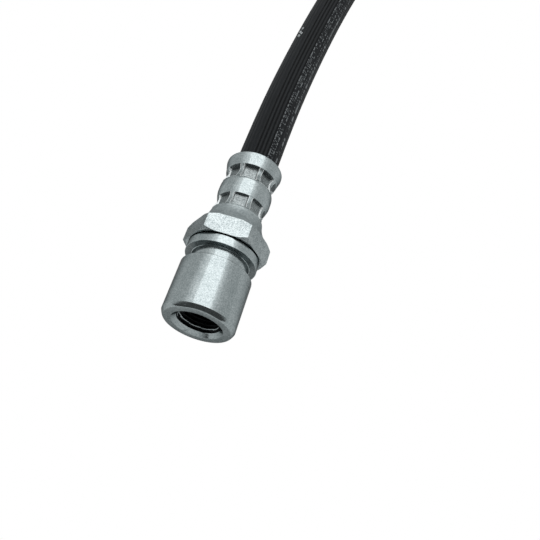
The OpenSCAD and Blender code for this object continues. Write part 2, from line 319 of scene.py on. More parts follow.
def make_floor():
    """A sheet of paper under the object: grey to the light, and plain white to the camera."""
    reach = FLOOR_REACH
    corners = [(-reach, -reach, 0), (reach, -reach, 0), (reach, reach, 0), (-reach, reach, 0)]
    floor = mesh_object("floor", corners, [(0, 1, 2, 3)])
    floor.location.z = -HEX_FLAT * MM
    material, shader, nodes, links = new_material("floor_paper")
    shader.inputs["Base Color"].default_value = (0.3, 0.3, 0.3, 1)
    shader.inputs["Specular IOR Level"].default_value = 0
    shader.inputs["Roughness"].default_value = 1
    shader.inputs["Emission Color"].default_value = PAPER_WHITE
    shader.inputs["Emission Strength"].default_value = 0.33
    white = nodes.new("ShaderNodeEmission")
    kind = nodes.new("ShaderNodeLightPath")
    mixed = nodes.new("ShaderNodeMixShader")
    links.new(kind.outputs["Is Camera Ray"], mixed.inputs["Fac"])
    links.new(shader.outputs["BSDF"], mixed.inputs[1])
    links.new(white.outputs["Emission"], mixed.inputs[2])
    links.new(mixed.outputs["Shader"], nodes["Material Output"].inputs["Surface"])
    floor.data.materials.append(material)


def make_room():
    """A grey room, dark over the port's side of the floor, where the photographer stands."""
    world = bpy.data.worlds.new("studio")
    world.use_nodes = True
    nodes, links = world.node_tree.nodes, world.node_tree.links
    way = nodes.new("ShaderNodeTexCoord").outputs["Generated"]
    split = nodes.new("ShaderNodeSeparateXYZ")
    links.new(way, split.inputs["Vector"])
    shade = nodes.new("ShaderNodeValToRGB")
    links.new(remap(nodes, links, split.outputs["Y"], -1, 1, 0, 1), shade.inputs["Fac"])
    elements = shade.color_ramp.elements
    while len(elements) < len(ROOM_STOPS):
        elements.new(0.5)
    for element, (position, value) in zip(elements, ROOM_STOPS):
        element.position = position
        element.color = (value, value, value, 1)
    kind = nodes.new("ShaderNodeLightPath")
    mixed = nodes.new("ShaderNodeMix")
    links.new(kind.outputs["Is Camera Ray"], mixed.inputs["Factor"])
    links.new(shade.outputs["Color"], mixed.inputs["A"])
    mixed.inputs["B"].default_value = 1
    links.new(mixed.outputs["Result"], nodes["Background"].inputs["Strength"])
    nodes["Background"].inputs["Color"].default_value = PAPER_WHITE
    bpy.context.scene.world = world


# ---------------------------------------------------------------- materials


def new_material(name):
    """A material with its shader, its nodes and its links."""
    material = bpy.data.materials.new(name)
    material.use_nodes = True
    nodes = material.node_tree.nodes
    return material, nodes["Principled BSDF"], nodes, material.node_tree.links


def ramp(nodes, links, source, low, high, low_colour, high_colour):
    """A colour that goes from one to another as its source goes from low to high."""
    node = nodes.new("ShaderNodeValToRGB")
    node.color_ramp.elements[0].position = low
    node.color_ramp.elements[0].color = (*low_colour, 1)
    node.color_ramp.elements[1].position = high
    node.color_ramp.elements[1].color = (*high_colour, 1)
    links.new(source, node.inputs["Fac"])
    return node.outputs["Color"]


def remap(nodes, links, source, *limits):
    """A value taken from one range to another: limits are from low, from high, to low and to high."""
    node = nodes.new("ShaderNodeMapRange")
    for socket, value in zip(("From Min", "From Max", "To Min", "To Max"), limits):
        node.inputs[socket].default_value = value
    links.new(source, node.inputs["Value"])
    return node.outputs["Result"]


def noise(nodes, links, place, scale, detail=3, roughness=0.6):
    node = nodes.new("ShaderNodeTexNoise")
    node.inputs["Scale"].default_value = scale
    node.inputs["Detail"].default_value = detail
    node.inputs["Roughness"].default_value = roughness
    links.new(place, node.inputs["Vector"])
    return node.outputs["Fac"]


def stretched(nodes, links, place, scale):
    """The place, with each of its axes scaled on its own."""
    node = nodes.new("ShaderNodeMapping")
    node.inputs["Scale"].default_value = scale
    links.new(place, node.inputs["Vector"])
    return node.outputs["Vector"]


def bump(nodes, links, height, strength, distance, under=None):
    """A bumped normal, on top of the normal of the bump under it."""
    node = nodes.new("ShaderNodeBump")
    node.inputs["Strength"].default_value = strength
    node.inputs["Distance"].default_value = distance
    links.new(height, node.inputs["Height"])
    if under is not None:
        links.new(under, node.inputs["Normal"])
    return node.outputs["Normal"]


def metal(name, dark, light, rough, grain=0.12, turning=0.1, fineness=2600, spread=0.2):
    """Plated metal: mottled colour, fine sparkle, turning lines, pits and a few scratches."""
    material, shader, nodes, links = new_material(name)
    place = nodes.new("ShaderNodeTexCoord").outputs["Object"]
    mottle = noise(nodes, links, place, MOTTLE_SCALE, 4, 0.7)
    speck = noise(nodes, links, place, fineness, 2, 0.7)
    turned_lines = noise(nodes, links, stretched(nodes, links, place, TURNING_SCALE), 1, 2, 0.6)
    scratch = noise(nodes, links, stretched(nodes, links, place, SCRATCH_SCALE), 1.1, 1, 0.5)
    pits = nodes.new("ShaderNodeTexVoronoi")
    pits.inputs["Scale"].default_value = PIT_SCALE
    links.new(place, pits.inputs["Vector"])
    mixed = nodes.new("ShaderNodeMath")
    mixed.operation = "ADD"
    links.new(remap(nodes, links, mottle, 0.3, 0.7, 0, 0.35), mixed.inputs[0])
    links.new(remap(nodes, links, speck, 0.5 - spread, 0.5 + spread, 0, 0.65), mixed.inputs[1])
    links.new(ramp(nodes, links, mixed.outputs[0], 0.15, 0.85, dark, light), shader.inputs["Base Color"])
    links.new(remap(nodes, links, mottle, 0.3, 0.7, rough, rough + 0.08), shader.inputs["Roughness"])
    shader.inputs["Metallic"].default_value = 1
    shader.inputs["Specular Tint"].default_value = (0.3, 0.3, 0.3, 1)
    normal = bump(nodes, links, speck, grain, GRAIN_HEIGHT)
    normal = bump(nodes, links, turned_lines, turning, TURNING_HEIGHT, normal)
    scored = remap(nodes, links, scratch, 0.70, 0.74, 1, 0)
    normal = bump(nodes, links, scored, 0.3, SCRATCH_DEPTH, normal)
    pitted = remap(nodes, links, pits.outputs["Distance"], 0.04, 0.12, 0, 1)
    links.new(bump(nodes, links, pitted, 0.5, PIT_DEPTH, normal), shader.inputs["Normal"])
    return material


def rubber(name, dark, light, rough, grain=0.4):
    """Rubber with streaks along the hose and a fine grit."""
    material, shader, nodes, links = new_material(name)
    place = nodes.new("ShaderNodeTexCoord").outputs["Object"]
    streak = noise(nodes, links, stretched(nodes, links, place, STREAK_SCALE), 1.0, 3, 0.6)
    grit = noise(nodes, links, place, GRIT_SCALE, 2, 0.5)
    links.new(ramp(nodes, links, streak, 0.3, 0.7, dark, light), shader.inputs["Base Color"])
    roughness = remap(nodes, links, grit, 0.3, 0.7, rough - 0.06, rough + 0.08)
    links.new(roughness, shader.inputs["Roughness"])
    shader.inputs["Specular IOR Level"].default_value = 0.22
    links.new(bump(nodes, links, grit, grain, GRAIN_HEIGHT), shader.inputs["Normal"])
    return material


def braid(name):
    """Two sets of crossing yarns."""
    material, shader, nodes, links = new_material(name)
    place = nodes.new("ShaderNodeTexCoord").outputs["Object"]
    waves = []
    for turn in (-YARN_TURN, YARN_TURN):
        turned_place = nodes.new("ShaderNodeMapping")
        turned_place.inputs["Rotation"].default_value = (0, 0, turn)
        links.new(place, turned_place.inputs["Vector"])
        wave = nodes.new("ShaderNodeTexWave")
        wave.inputs["Scale"].default_value = YARN_SCALE
        wave.inputs["Distortion"].default_value = 0.6
        links.new(turned_place.outputs["Vector"], wave.inputs["Vector"])
        waves.append(wave.outputs["Fac"])
    weave = nodes.new("ShaderNodeMath")
    weave.operation = "MAXIMUM"
    links.new(waves[0], weave.inputs[0])
    links.new(waves[1], weave.inputs[1])
    colour = ramp(nodes, links, weave.outputs[0], 0.3, 0.9, (0.3, 0.27, 0.2), (0.66, 0.62, 0.52))
    links.new(colour, shader.inputs["Base Color"])
    shader.inputs["Roughness"].default_value = 0.8
    links.new(bump(nodes, links, weave.outputs[0], 0.6, YARN_HEIGHT), shader.inputs["Normal"])
    return material


def make_materials():
    """Every material of the object, by a name that says what it is for."""
    return {
        "zinc_plated_steel": metal(
            "zinc_plate", (0.38, 0.435, 0.445), (0.65, 0.71, 0.72), 0.09,
            grain=0.2, turning=0.12, fineness=3200, spread=0.16,
        ),
        "milled_steel": metal(
            "milled_flat", (0.34, 0.39, 0.4), (0.74, 0.8, 0.81), 0.14, grain=1.5, fineness=4200, spread=0.14,
        ),
        "drawn_steel": metal(
            "drawn_plate", (0.4, 0.455, 0.465), (0.66, 0.72, 0.73), 0.36,
            grain=0.6, turning=0.05, fineness=2000,
        ),
        "pressed_steel": metal(
            "pressed_plate", (0.2, 0.225, 0.23), (0.48, 0.52, 0.525), 0.3,
            grain=0.8, fineness=3400, spread=0.15,
        ),
        # Painted shade for the ring's face that walls the clip groove.
        "shaded_steel": metal("groove_wall_painted_shade", (0.2, 0.225, 0.23), (0.4, 0.43, 0.435), 0.3),
        # Painted shade for the walls of the jaw marks.
        "jaw_wall_painted_shade": metal("jaw_wall_painted_shade", (0.15, 0.17, 0.175), (0.33, 0.355, 0.36), 0.45, grain=0.8),
        # Painted highlight for the burrs along the jaw marks' edges.
        "burr_highlight_steel": metal("jaw_burr_painted_highlight", (0.8, 0.86, 0.87), (0.95, 0.97, 0.97), 0.5, grain=0.6),
        "turned_face": metal("turned_face", (0.26, 0.3, 0.305), (0.56, 0.61, 0.62), 0.25, grain=0.5),
        "thread_crest": metal("thread_crest", (0.4, 0.45, 0.46), (0.6, 0.66, 0.67), 0.3),
        # Nearly black: painted shade deep in the port, in its thread roots and in the undercut.
        "black_painted_shade": metal("port_painted_shade", (0.012, 0.013, 0.014), (0.03, 0.032, 0.034), 0.4),
        "nipple_steel": metal("nipple_steel", (0.4, 0.41, 0.42), (0.52, 0.53, 0.54), 0.25),
        "bolt_steel": metal("bolt_plate", (0.5, 0.53, 0.54), (0.66, 0.69, 0.69), 0.16),
        "copper": metal("annealed_copper", (0.62, 0.28, 0.17), (0.86, 0.46, 0.31), 0.22),
        "cover_rubber": rubber("cover_rubber", (0.0042, 0.0058, 0.0076), (0.0095, 0.012, 0.0148), 0.55),
        # Painted shade in the deepest grooves of the worn lane.
        "groove_shade_rubber": rubber("groove_shade_rubber", (0.0015, 0.0017, 0.002), (0.004, 0.0045, 0.0055), 0.75),
        # Painted highlight on the ribs of the upper side.
        "rib_highlight_rubber": rubber("rib_highlight_rubber", (0.008, 0.0096, 0.0118), (0.017, 0.0195, 0.0225), 0.5),
        "worn_rubber": rubber("worn_rubber", (0.45, 0.48, 0.49), (0.6, 0.63, 0.64), 0.6),
        "mark_rubber": rubber("mark_rubber", (0.13, 0.14, 0.15), (0.3, 0.32, 0.33), 0.6),
        "liner_rubber": rubber("liner_rubber", (0.02, 0.02, 0.02), (0.035, 0.035, 0.035), 0.55),
        "braid_yarn": braid("braid_yarn"),
    }


# ---------------------------------------------------------------- mesh helpers


def mesh_object(name, points, faces):
    mesh = bpy.data.meshes.new(name)
    mesh.from_pydata([tuple(p) for p in points], [], faces)
    mesh.update()
    piece = bpy.data.objects.new(name, mesh)
    bpy.context.collection.objects.link(piece)
    return piece


def smooth(piece, sharp_angle):
    """Shades the piece smooth, with an edge kept wherever two faces meet at more than an angle."""
    shape = bmesh.new()
    shape.from_mesh(piece.data)
    for face in shape.faces:
        face.smooth = True
    for edge in shape.edges:
        edge.smooth = len(edge.link_faces) == 2 and edge.calc_face_angle(0) < math.radians(sharp_angle)
    shape.to_mesh(piece.data)
    shape.free()


def finish_piece(piece, material, slot, body, *nodes, sharp_angle=32):
    """Shades a piece, gives it its main material, and says what it rides on and stands for."""
    smooth(piece, sharp_angle)
    if piece.data.materials:
        piece.data.materials[0] = material
    else:
        piece.data.materials.append(material)
    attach(piece, body)
    if nodes:
        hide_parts(*nodes)
    return piece


def axes(origin, along, top):
    """Places a turned shape: its axis runs along, and its angles start at top."""
    along, top = Vector(along).normalized(), Vector(top).normalized()
    turn = Matrix((along.cross(top), top, along)).transposed().to_4x4()
    return Matrix.Translation(Vector(origin) * MM) @ turn


def eye_axes():
    """Along the eye's bore, towards the caliper."""
    return axes(EYE, (-1, 0, 0), (0, 0, 1))


def turned(name, rows, place, segments, looped=True):
    """A skin over rows of (along, radius) in millimetres, where either may depend on the angle."""
    points = []
    for along, radius in rows:
        for k in range(segments):
            angle = 360 * k / segments
            r = radius(angle) if callable(radius) else radius
            s = along(angle) if callable(along) else along
            a = math.radians(angle)
            points.append(place @ Vector((r * math.sin(a) * MM, r * math.cos(a) * MM, s * MM)))
    faces = []
    count = len(rows)
    for i in range(count if looped else count - 1):
        j = (i + 1) % count
        for k in range(segments):
            m = (k + 1) % segments
            faces.append((i * segments + k, i * segments + m, j * segments + m, j * segments + k))
    return mesh_object(name, points, faces)


def paint(piece, place, material, test):
    """Gives a material to the faces whose middles pass a test of their (along, radius, angle)."""
    if not piece.data.materials:
        piece.data.materials.append(None)
    piece.data.materials.append(material)
    back = place.inverted()
    for face in piece.data.polygons:
        p = (back @ face.center) / MM
        if test(p.z, math.hypot(p.x, p.y), math.degrees(math.atan2(p.x, p.y))):
            face.material_index = len(piece.data.materials) - 1


def rounded(corners, steps=3):
    """Rows from an outline of (along, radius, fillet): each corner becomes an arc of its fillet."""
    rows = []
    for i, (s, r, fillet) in enumerate(corners):
        if not fillet or i in (0, len(corners) - 1):
            rows.append((s, r))
            continue
        here = Vector((s, r))
        back = (Vector(corners[i - 1][:2]) - here).normalized()
        on = (Vector(corners[i + 1][:2]) - here).normalized()
        for k in range(steps + 1):
            t = k / steps
            point = here + fillet * ((1 - t) ** 2 * back + t ** 2 * on)
            rows.append((point.x, point.y))
    return rows


def flipped(rows):
    """The same rows, turned end for end."""
    def back(s):
        return (lambda angle: -s(angle)) if callable(s) else -s

    return [(back(s), r) for s, r in reversed(rows)]


def ease(a, b, t):
    """From a to b as t goes from 0 to 1, level at both ends."""
    return a + (b - a) * (1 - math.cos(math.pi * t)) / 2


def step(edge, x, width):
    """0 below the edge and 1 above it, smoothly over a width."""
    t = min(max((x - edge) / width + 0.5, 0), 1)
    return t * t * (3 - 2 * t)


def between(angle, limits):
    """Whether an angle lies between two limits, which are counted from -180 to 180 degrees."""
    return limits[0] < (angle + 180) % 360 - 180 < limits[1]


# ---------------------------------------------------------------- fittings


def hex_radius(flat, corner_cut=0.01):
    """The radius of a hexagon with a flat at the top, its corners a little blunt."""
    corner = flat / math.cos(math.radians(30)) - corner_cut

    def radius(angle):
        off = (angle + 30) % 60 - 30
        return min(flat / math.cos(math.radians(off)), corner)

    return radius


def hexagon_rows(start, end, flat, chamfer, both_ends=True):
    """A hexagon whose corners are chamfered by cones, so that the ends of its flats are rounded off."""
    radius = hex_radius(flat)
    corner = flat / math.cos(math.radians(30))
    inner = flat + HEX_FACE_MARGIN

    def face(angle):
        return min(radius(angle) - 0.02, inner)

    def rise(angle):
        return 0.02 + chamfer * max(0, radius(angle) - inner) / (corner - inner)

    rows = []
    if both_ends:
        rows += [(start, face), (lambda a: start + rise(a), radius)]
    else:
        rows += [(start, radius)]
    rows += [(lambda a: end - rise(a), radius), (end, face)]
    return rows


def socket_base(s):
    """The socket's outside before its jaw marks."""
    stations = (
        (0, SHANK_R), (SHANK_END, SHANK_R - 0.04), (VALLEYS[0], VALLEY_R), (BULGE[0], BULGE_R),
        (BULGE[1], BULGE_R), (VALLEYS[1], VALLEY_R), (COLLAR_CONE[0], COLLAR_FOOT_R),
    )
    for (s0, r0), (s1, r1) in zip(stations, stations[1:]):
        if s <= s1:
            return ease(r0, r1, (s - s0) / (s1 - s0))
    start, end = COLLAR_CONE
    return COLLAR_FOOT_R + (COLLAR_R - COLLAR_FOOT_R) * min(1, (s - start) / (end - start))


def jaw_mark(s, angle, margin=0.0):
    """How deep in a jaw's mark a place is, 1 on its floor and 0 outside, and where it lies in it."""
    off = (angle + 180 / JAWS) % (360 / JAWS) - 180 / JAWS
    across = abs(JAW_FLOOR * math.tan(math.radians(off)))
    along = max(1 - step(length / 2 - margin, abs(s - row), 0.1) for row, length in JAW_ROWS)
    return along * (1 - step(JAW_WIDTH / 2 - margin, across, 0.12)), along, across, off


def paint_marks(piece, place, start, materials):
    """The jaws leave the floors of their marks dull; the marks get a thin painted highlight along the burrs
    at their edges, and painted shade on their walls.
    """
    half = JAW_WIDTH / 2

    def pressed(s, r, least):
        """Whether a place is on the socket's outside, along the length that the jaws press."""
        return r > least and 0 < s - start < CRIMP_END

    def on_floor(s, r, a):
        return r < VALLEY_R and pressed(s, r, OUTSIDE_R) and jaw_mark(s - start, a, 0.06)[0] > 0.5

    # Painted shade on the walls at each mark's hose-side end, and along the foot of its sides.
    def in_shade(s, r, a):
        if not pressed(s, r, OUTSIDE_R):
            return False
        mark, along, across = jaw_mark(s - start, a)[:3]
        far = any(0 < s - start - row < length / 2 + 0.1 for row, length in JAW_ROWS)
        at_side = along > 0.5 and -WALL_SHADE < across - half < -WALL_FOOT
        return at_side or (far and 0.03 < mark < 0.97 and across < half - WALL_FOOT)

    # Painted highlight on the burrs at each mark's port-side end and along its sides.
    def on_burr_highlight(s, r, a):
        if not pressed(s, r, VALLEY_R - 2 * NEAR):
            return False
        low = any(-BURR_HIGHLIGHT < s - start - row + length / 2 < 0.03 for row, length in JAW_ROWS)
        along, across = jaw_mark(s - start, a)[1:3]
        at_side = along > 0.5 and -NEAR < across - half < BURR_HIGHLIGHT
        return at_side or (low and across < half + BURR_HIGHLIGHT)

    paint(piece, place, materials["pressed_steel"], on_floor)
    paint(piece, place, materials["burr_highlight_steel"], on_burr_highlight)
    paint(piece, place, materials["jaw_wall_painted_shade"], in_shade)


def socket_radius(s):
    """The socket's outside at one distance, with the flat-floored marks of the jaws."""
    base = socket_base(s)
    if jaw_mark(s, 0)[1] <= 0:
        return base

    def radius(angle):
        mark, along, across, off = jaw_mark(s, angle)
        floor = JAW_FLOOR / math.cos(math.radians(off))
        lip = LIP * step(JAW_WIDTH / 2 - 0.02, across, 0.1)
        return base + lip * along + (min(floor, base) - base) * mark

    return radius


def socket_rows(start, after=-1):
    """The outside of a crimped socket up to its mouth, with close rows at the ends of its marks."""
    stops = [0, 0.5]
    s = 1.0
    while s < SOCKET_LENGTH - 0.4:
        stops.append(s)
        edge = min(abs(abs(s - row) - length / 2) for row, length in JAW_ROWS)
        s += FINE_STEP if edge < 4 * FINE_STEP else COARSE_STEP
    rows = [(start + s, socket_radius(s)) for s in stops if s > after]
    end = start + SOCKET_LENGTH
    return rows + rounded([
        (end - 0.3, socket_base(SOCKET_LENGTH - 0.3), 0), (end, COLLAR_R, 0.12),
        (end, THROAT_R + 0.4, 0.1), (end - 0.4, THROAT_R, 0),
    ], 5)


def cavity_rows(start):
    """The inside of a socket, from its mouth back to the nipple's hole."""
    floor = start + CAVITY_START
    root = floor - NIPPLE_ROOT
    return [
        (start + THROAT_END - 0.3, THROAT_R), (start + GRIP_END, GRIP_R), (floor, GRIP_R),
        (floor, NIPPLE_HOLE_R), (root, NIPPLE_HOLE_R), (root, PASSAGE_R),
    ]


def thread_radius(s, crest, depth, fade):
    """The radius of a helical thread at one distance, which dips inwards from its crest by a depth."""

    def radius(angle):
        turn = (s / THREAD_PITCH - angle / 360) % 1
        tooth = max(0, (1 + THREAD_FLAT) * (1 - abs(2 * turn - 1)) - THREAD_FLAT)
        return crest - depth * fade * tooth

    return radius


def port_thread_rows():
    """The port's inner thread, from its bottom to its mouth."""
    rows = []
    s = PORT_THREAD_END
    while s > THREAD_STEP / 2:
        fade = min(1, (PORT_THREAD_END - s) / THREAD_RUN_OUT, s / THREAD_LEAD_IN)
        rows.append((s, thread_radius(s, THREAD_R, THREAD_DEPTH, fade)))
        s -= THREAD_STEP
    return rows


def bolt_thread_rows():
    """The bolt's outer thread, from its shank to its chamfered tip."""
    rows = []
    s = BOLT_SEAT
    while s < BOLT_TIP:
        crest = min(THREAD_R, THREAD_R - (s - (BOLT_TIP - BOLT_TIP_CHAMFER)))
        run_out = (s - BOLT_SEAT) / THREAD_RUN_OUT + 0.1
        fade = min(1, run_out, max(0.1, (BOLT_TIP - s) / BOLT_TIP_CHAMFER))
        rows.append((s, thread_radius(s, crest, BOLT_THREAD_DEPTH, fade)))
        s += THREAD_STEP
    return rows


def paint_bracket_end(piece, place, materials):
    """The port's face and thread, painted shade deep in the port, on the groove's wall and in the undercut,
    the milled flats and the drawn shoulder.
    """
    def port_face(s, r, a):
        return s < FACE_Y + 0.02

    def lit_thread(s, r, a):
        return 2 * NEAR < s < LIT_THREAD_END and r < THREAD_R + NEAR

    # Painted shade: the port past its first threads, and the roots of those threads.
    def dark_thread(s, r, a):
        inside = 2 * NEAR < s < SEAT_END + 3 and r < THREAD_R + NEAR
        return inside and (s > LIT_THREAD_END or r > THREAD_R - 0.38)

    def flats(s, r, a):
        return RING_END + 2 * NEAR < s < HEX_END - 2 * NEAR and r > HEX_FLAT - NEAR

    def shoulder(s, r, a):
        return HEX_END + 0.01 < s < SHANK_Y + 1.7 and 6 < r < HEX_FLAT

    # Painted shade on the ring's face over the clip groove.
    def groove_wall(s, r, a):
        return GROOVE_R + 3 * NEAR < r < RING_R - 2 * NEAR and abs(s - GROOVE_END) < NEAR

    # Painted shade in the undercut between the ring and the hexagon.
    def undercut(s, r, a):
        return GROOVE_R < r < RING_R - 3 * NEAR and RING_END - 0.06 < s < HEX_START + 0.02

    for name, test in (
        ("turned_face", port_face), ("thread_crest", lit_thread), ("black_painted_shade", dark_thread),
        ("milled_steel", flats), ("drawn_steel", shoulder), ("shaded_steel", groove_wall),
        ("black_painted_shade", undercut),
    ):
        paint(piece, place, materials[name], test)


def make_bracket_end(materials):
    """The port, the barrel, the clip groove, the ring, the hexagon and the crimped socket, in one piece."""
    port = [(SEAT_END, PASSAGE_R), (PILOT_END, PILOT_R), (PORT_THREAD_END + 0.05, PILOT_R)]
    outside = rounded([
        (0, THREAD_R, 0), (FACE_Y, COUNTERSINK_R, 0.08), (FACE_Y, CHAMFER_R - 0.25, 0.15),
        (FACE_Y + 0.35, CHAMFER_R + 0.05, 0.15), (CHAMFER_END, BARREL_R, 0.03),
        (BARREL_END, BARREL_R, 0.35), (BARREL_END + 0.02, GROOVE_R, 0.12), (GROOVE_END, GROOVE_R, 0.2),
        (GROOVE_END, RING_R, 0.12), (RING_END - 0.05, RING_R, 0.1), (RING_END, UNDERCUT_R, 0.03),
        (HEX_START, UNDERCUT_R, 0.03), (HEX_START, HEX_FLAT - 0.2, 0),
    ])
    shoulder = rounded([
        (HEX_END, HEX_FLAT - 0.1, 0), (HEX_END + 0.02, SHOULDER_R, 0), (SHOULDER_FOOT, SHANK_R + 0.13, 1.7),
        (SHANK_Y + SHOULDER_OVERLAP, SHANK_R - 0.05, 0),
    ], 6)[1:]
    hexagon = hexagon_rows(HEX_START, HEX_END, HEX_FLAT, HEX_CHAMFER)
    socket = socket_rows(SHANK_Y, SHOULDER_OVERLAP) + cavity_rows(SHANK_Y)
    place = axes((0, 0, 0), (0, 1, 0), (0, 0, 1))
    rows = port + port_thread_rows() + outside + hexagon + shoulder + socket
    piece = turned("bracket_end_fitting", rows, place, FITTING_SIDES)
    paint_marks(piece, place, SHANK_Y, materials)
    paint_bracket_end(piece, place, materials)
    return finish_piece(piece, materials["zinc_plated_steel"], "zinc_plated_steel", ROOT, "bracket_end_body")


def make_banjo_socket(materials):
    """The socket at the banjo end, with the stem that is brazed into the eye."""
    def past_rim(extra):
        """A distance past the place where the stem meets the eye's rim, at each angle."""
        return lambda angle: math.sqrt(EYE_R ** 2 - (STEM_R * math.cos(math.radians(angle))) ** 2) + extra

    stem = [(STEM_START, PASSAGE_R), (STEM_START, STEM_R)]
    stem += [(past_rim(extra), STEM_R + proud) for extra, proud in BRAZE]
    flare = STEM_REACH - STEM_FLARE
    stem += [(flare + STEM_FLARE * t, ease(STEM_R, SHANK_R, t)) for t in (0, 0.2, 0.4, 0.6, 0.8)]
    rows = stem + socket_rows(STEM_REACH) + cavity_rows(STEM_REACH)
    towards_hose = (0, -math.cos(TILT), -math.sin(TILT))
    place = axes(EYE, towards_hose, (0, -math.sin(TILT), math.cos(TILT)))
    piece = turned("banjo_end_shell", rows, place, SOCKET_SIDES)
    paint_marks(piece, place, STEM_REACH, materials)
    return finish_piece(piece, materials["zinc_plated_steel"], "zinc_plated_steel", ROOT, "banjo_end_socket")


def make_banjo_eye(materials):
    """The ring that the bolt goes through, with its raised seal faces and its inner fluid groove."""
    half = rounded([
        (0, EYE_R, 0), (EYE_SIDE, EYE_R, 0.7), (EYE_SIDE, SEAL_FACE_R + 0.3, 0.15),
        (HALF_EYE, SEAL_FACE_R, 0.1), (HALF_EYE, EYE_BORE_R + 0.2, 0.08), (HALF_EYE - 0.25, EYE_BORE_R, 0),
        (GALLERY_HALF, EYE_BORE_R, 0), (GALLERY_HALF, GALLERY_R, 0.3), (0, GALLERY_R, 0),
    ], 4)
    piece = turned("banjo_ring", flipped(half[1:]) + half[:-1], eye_axes(), EYE_SIDES)
    return finish_piece(piece, materials["zinc_plated_steel"], "zinc_plated_steel", ROOT, "banjo_eye")


def make_washer(name, node, start, materials):
    """A copper sealing washer on the bolt."""
    end = start + WASHER_THICKNESS
    rows = rounded([
        (start, EYE_BORE_R, 0), (start, WASHER_R, 0.2), (end, WASHER_R, 0.2), (end, EYE_BORE_R, 0.1),
        (start + 0.05, EYE_BORE_R, 0),
    ])
    piece = turned(name, rows, eye_axes(), WASHER_SIDES)
    return finish_piece(piece, materials["copper"], "copper", node, node)


def make_bolt(materials):
    """The hollow bolt: a flanged hexagon, a waisted shank with a cross hole, and a threaded tip."""
    flange = BOLT_SEAT + FLANGE_THICKNESS
    head = flange + BOLT_HEX_HEIGHT
    hexagon = flipped(hexagon_rows(flange, head, BOLT_HEX_FLAT, BOLT_HEX_CHAMFER, both_ends=False))
    waist = BOLT_WAIST_HALF
    shoulder = BOLT_WAIST_HALF + BOLT_WAIST_CONE
    shank = rounded([
        (-flange, BOLT_HEX_FLAT, 0), (-flange, FLANGE_R, 0.2), (-BOLT_SEAT, FLANGE_R, 0.2),
        (-BOLT_SEAT, BOLT_SHANK_R, 0.15), (-shoulder, BOLT_SHANK_R, 0.1), (-waist, BOLT_WAIST_R, 0.1),
        (waist, BOLT_WAIST_R, 0.1), (shoulder, BOLT_SHANK_R, 0.1), (BOLT_SEAT - 0.05, BOLT_SHANK_R, 0),
    ])[1:]
    bore = [
        (BOLT_TIP, THREAD_R - 0.85), (BOLT_TIP, BOLT_BORE_R), (BOLT_BORE_END, BOLT_BORE_R),
        (BOLT_BORE_POINT, 0.001),
    ]
    rows = [(-head, 0.001)] + hexagon + shank + bolt_thread_rows() + bore
    piece = turned("hollow_bolt", rows, eye_axes(), BOLT_SIDES)
    drill(piece, EYE, (0, 0, 1), CROSS_HOLE_R, CROSS_HOLE_LENGTH)
    return finish_piece(piece, materials["bolt_steel"], "bolt_steel", "banjo_bolt", "banjo_bolt")


def drill(piece, centre, along, radius, length):
    """Cuts a round hole through a piece."""
    rows = [(-length / 2, 0.001), (-length / 2, radius), (length / 2, radius), (length / 2, 0.001)]
    cutter = turned("cutter", rows, axes(centre, along, (0, 1, 0)), DRILL_SIDES, looped=False)
    cut = piece.modifiers.new("drill", "BOOLEAN")
    cut.operation = "DIFFERENCE"
    cut.object = cutter
    cut.solver = "EXACT"
    shape = bpy.data.meshes.new_from_object(piece.evaluated_get(bpy.context.evaluated_depsgraph_get()))
    piece.modifiers.clear()
    piece.data = shape
    bpy.data.objects.remove(cutter)


# ---------------------------------------------------------------- hose


def hermite(a, b, start_slope, end_slope, t):
    """A point on the curve from a to b that has these slopes at its ends."""
    return ((2 * t ** 3 - 3 * t ** 2 + 1) * a + (t ** 3 - 2 * t ** 2 + t) * start_slope
            + (3 * t ** 2 - 2 * t ** 3) * b + (t ** 3 - t ** 2) * end_slope)


def centreline():
    """The route as one smooth line of close points, in millimetres, straight inside the sockets."""
    line = []
    for i in range(len(ROUTE) - 1):
        a, b = ROUTE[i], ROUTE[i + 1]
        before = ROUTE[i - 1] if i else a - (b - a)
        after = ROUTE[i + 2] if i + 2 < len(ROUTE) else b + (b - a)
        length = (b - a).length
        start_slope = (b - before) * length / (length + (a - before).length)
        end_slope = (after - a) * length / (length + (after - b).length)
        steps = max(2, round(length / POINT_SPACING))
        line += [hermite(a, b, start_slope, end_slope, k / steps) for k in range(steps)]
    line.append(ROUTE[-1].copy())
    near_mouth = SHANK_Y + SOCKET_LENGTH
    far_mouth = banjo_point(STEM_REACH + SOCKET_LENGTH).y
    free = [i for i, p in enumerate(line) if near_mouth < p.y < far_mouth]
    for _ in range(SMOOTHING_PASSES):
        for i in free:
            line[i] = (line[i - 1] + 2 * line[i] + line[i + 1]) / 4
    return line


def squeeze(line):
    """How far each point of the line is from free (0) to fully gripped (1) in a socket."""
    amounts = []
    for p in line:
        inside = min(p.y - SHANK_Y, (p - banjo_point(STEM_REACH)).length)
        amounts.append(1 - min(max((inside - GRIP_END) / (THROAT_END - GRIP_END), 0), 1))
    return amounts


def ring_stops(grip):
    """Every second point of the line, and each point next to where a socket's grip changes."""
    last = len(grip) - 1
    return [i for i in range(last + 1) if i % 2 == 0 or i == last or grip[i - 1] != grip[i + 1]]


def swept_frame(line, i):
    """The directions to the side and up at a point of the line."""
    along = (line[min(i + 1, len(line) - 1)] - line[max(i - 1, 0)]).normalized()
    side = along.cross(Vector((0, 0, 1))).normalized()
    return side, side.cross(along)


